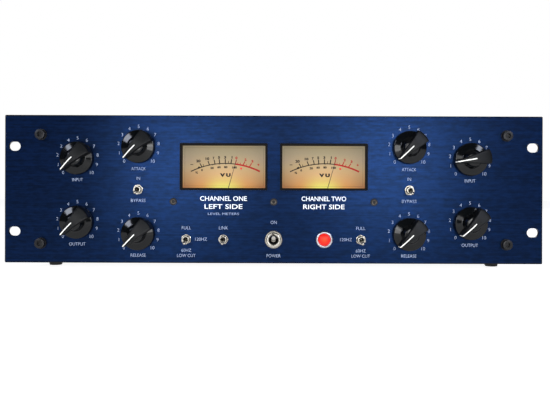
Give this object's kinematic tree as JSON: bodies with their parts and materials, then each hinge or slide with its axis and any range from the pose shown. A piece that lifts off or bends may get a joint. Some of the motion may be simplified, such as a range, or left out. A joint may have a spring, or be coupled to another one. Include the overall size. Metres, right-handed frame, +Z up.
{
  "type": "rack compressor",
  "caption": "Two-channel rack-mount valve audio compressor: blue panel, pointer knobs, toggle switches, lit needle meters and a pilot lamp on a vented steel case.",
  "frame": {"origin": "on the floor under the middle of the unit's overall box", "axes": "+X to the user's right along the panel, +Y from the front panel to the back, +Z up"},
  "size_m": [0.4826, 0.2682, 0.1377],
  "materials": {
    "blue_panel": "brushed and blue anodised, satin",
    "black_sheet": "fine matt black powder coat",
    "rubber": "moulded, matt",
    "phenolic": "compression moulded, glossy skirt and satin wing",
    "nickel": "nickel plated, bright",
    "plated_steel": "zinc plated, satin",
    "red_lens": "moulded translucent red, lit from behind",
    "black_plastic": "moulded, fine satin",
    "meter_dial": "printed card lit warm from below",
    "clear_plastic": "clear moulded window, polished",
    "circuit_board": "solder-masked glass fibre",
    "winding_tape": "polyester film tape over the winding",
    "laminations": "varnished iron laminations",
    "tube_glass": "blown glass, polished",
    "legend_ink": "white screen printing on the panels",
    "dial_ink": "black and red printing on the meter cards",
    "pointer_paint": "white enamel in the pointer's groove",
    "black_steel": "black oxide on steel screws and washers",
    "brass": "turned and left plain, or gold plated on contacts"
  },
  "bodies": {
    "chassis": {"front_panel": "blue_panel", "chassis_tray": "black_sheet", "rear_panel": "black_sheet", "top_cover": "black_sheet", "foot_front_left": "rubber", "foot_front_right": "rubber", "foot_rear_left": "rubber", "foot_rear_right": "rubber", "input_pot_left": "plated_steel", "output_pot_left": "plated_steel", "attack_pot_left": "plated_steel", "release_pot_left": "plated_steel", "input_pot_right": "plated_steel", "output_pot_right": "plated_steel", "attack_pot_right": "plated_steel", "release_pot_right": "plated_steel", "link_switch": "nickel", "bypass_left_switch": "nickel", "bypass_right_switch": "nickel", "lowcut_left_switch": "nickel", "lowcut_right_switch": "nickel", "power_switch": "nickel", "lamp_bezel": "nickel", "lamp_lens": "red_lens", "meter_bracket": "plated_steel", "meter_case_left": "black_plastic", "meter_dial_left": "meter_dial", "meter_window_left": "clear_plastic", "meter_case_right": "black_plastic", "meter_dial_right": "meter_dial", "meter_window_right": "clear_plastic", "input_jack_left": "plated_steel", "input_jack_right": "plated_steel", "output_jack_left": "plated_steel", "output_jack_right": "plated_steel", "mains_inlet": "black_plastic", "mains_transformer": "winding_tape", "main_board": "circuit_board", "output_transformer_left": "laminations", "output_transformer_right": "laminations", "tube_1": "tube_glass", "tube_2": "tube_glass", "tube_3": "tube_glass", "tube_4": "tube_glass"},
    "input_knob_left": {"input_knob_left": "phenolic"},
    "output_knob_left": {"output_knob_left": "phenolic"},
    "attack_knob_left": {"attack_knob_left": "phenolic"},
    "release_knob_left": {"release_knob_left": "phenolic"},
    "input_knob_right": {"input_knob_right": "phenolic"},
    "output_knob_right": {"output_knob_right": "phenolic"},
    "attack_knob_right": {"attack_knob_right": "phenolic"},
    "release_knob_right": {"release_knob_right": "phenolic"},
    "link_lever": {"link_lever": "nickel"},
    "bypass_left_lever": {"bypass_left_lever": "nickel"},
    "bypass_right_lever": {"bypass_right_lever": "nickel"},
    "lowcut_left_lever": {"lowcut_left_lever": "nickel"},
    "lowcut_right_lever": {"lowcut_right_lever": "nickel"},
    "power_lever": {"power_lever": "nickel"},
    "meter_needle_left": {"meter_needle_left": "black_plastic"},
    "meter_needle_right": {"meter_needle_right": "black_plastic"}
  },
  "joints": [
    {"name": "input_turn_left", "type": "hinge", "parent": "chassis", "child": "input_knob_left", "pos_m": [-0.176, -0.12352, 0.09895], "axis": [0, 1, 0], "range_deg": [0, 270]},
    {"name": "output_turn_left", "type": "hinge", "parent": "chassis", "child": "output_knob_left", "pos_m": [-0.176, -0.12352, 0.04175], "axis": [0, 1, 0], "range_deg": [0, 270]},
    {"name": "attack_turn_left", "type": "hinge", "parent": "chassis", "child": "attack_knob_left", "pos_m": [-0.1213, -0.12352, 0.10945], "axis": [0, 1, 0], "range_deg": [0, 270]},
    {"name": "release_turn_left", "type": "hinge", "parent": "chassis", "child": "release_knob_left", "pos_m": [-0.1213, -0.12352, 0.03175], "axis": [0, 1, 0], "range_deg": [0, 270]},
    {"name": "input_turn_right", "type": "hinge", "parent": "chassis", "child": "input_knob_right", "pos_m": [0.176, -0.12352, 0.09895], "axis": [0, 1, 0], "range_deg": [-35, 235]},
    {"name": "output_turn_right", "type": "hinge", "parent": "chassis", "child": "output_knob_right", "pos_m": [0.176, -0.12352, 0.04175], "axis": [0, 1, 0], "range_deg": [0, 270]},
    {"name": "attack_turn_right", "type": "hinge", "parent": "chassis", "child": "attack_knob_right", "pos_m": [0.1213, -0.12352, 0.10945], "axis": [0, 1, 0], "range_deg": [0, 270]},
    {"name": "release_turn_right", "type": "hinge", "parent": "chassis", "child": "release_knob_right", "pos_m": [0.1213, -0.12352, 0.03175], "axis": [0, 1, 0], "range_deg": [0, 270]},
    {"name": "link_flip", "type": "hinge", "parent": "chassis", "child": "link_lever", "pos_m": [-0.045, -0.11753, 0.02675], "axis": [-1, 0, 0], "range_deg": [0, 25]},
    {"name": "bypass_left_flip", "type": "hinge", "parent": "chassis", "child": "bypass_left_lever", "pos_m": [-0.1215, -0.11753, 0.07115], "axis": [-1, 0, 0], "range_deg": [0, 25]},
    {"name": "bypass_right_flip", "type": "hinge", "parent": "chassis", "child": "bypass_right_lever", "pos_m": [0.1215, -0.11753, 0.07115], "axis": [-1, 0, 0], "range_deg": [0, 25]},
    {"name": "lowcut_left_flip", "type": "hinge", "parent": "chassis", "child": "lowcut_left_lever", "pos_m": [-0.0782, -0.11753, 0.02675], "axis": [-1, 0, 0], "range_deg": [0, 25]},
    {"name": "lowcut_right_flip", "type": "hinge", "parent": "chassis", "child": "lowcut_right_lever", "pos_m": [0.0782, -0.11753, 0.02675], "axis": [-1, 0, 0], "range_deg": [0, 25]},
    {"name": "power_flip", "type": "hinge", "parent": "chassis", "child": "power_lever", "pos_m": [0, -0.11803, 0.02675], "axis": [-1, 0, 0], "range_deg": [-25, 0]},
    {"name": "meter_swing_left", "type": "hinge", "parent": "chassis", "child": "meter_needle_left", "pos_m": [-0.045, -0.10723, 0.05885], "axis": [0, 1, 0], "range_deg": [-62.7, 31.3], "stiffness_Nm_per_rad": 0.0005},
    {"name": "meter_swing_right", "type": "hinge", "parent": "chassis", "child": "meter_needle_right", "pos_m": [0.045, -0.10723, 0.05885], "axis": [0, 1, 0], "range_deg": [-62.7, 31.3], "stiffness_Nm_per_rad": 0.0005}
  ]
}
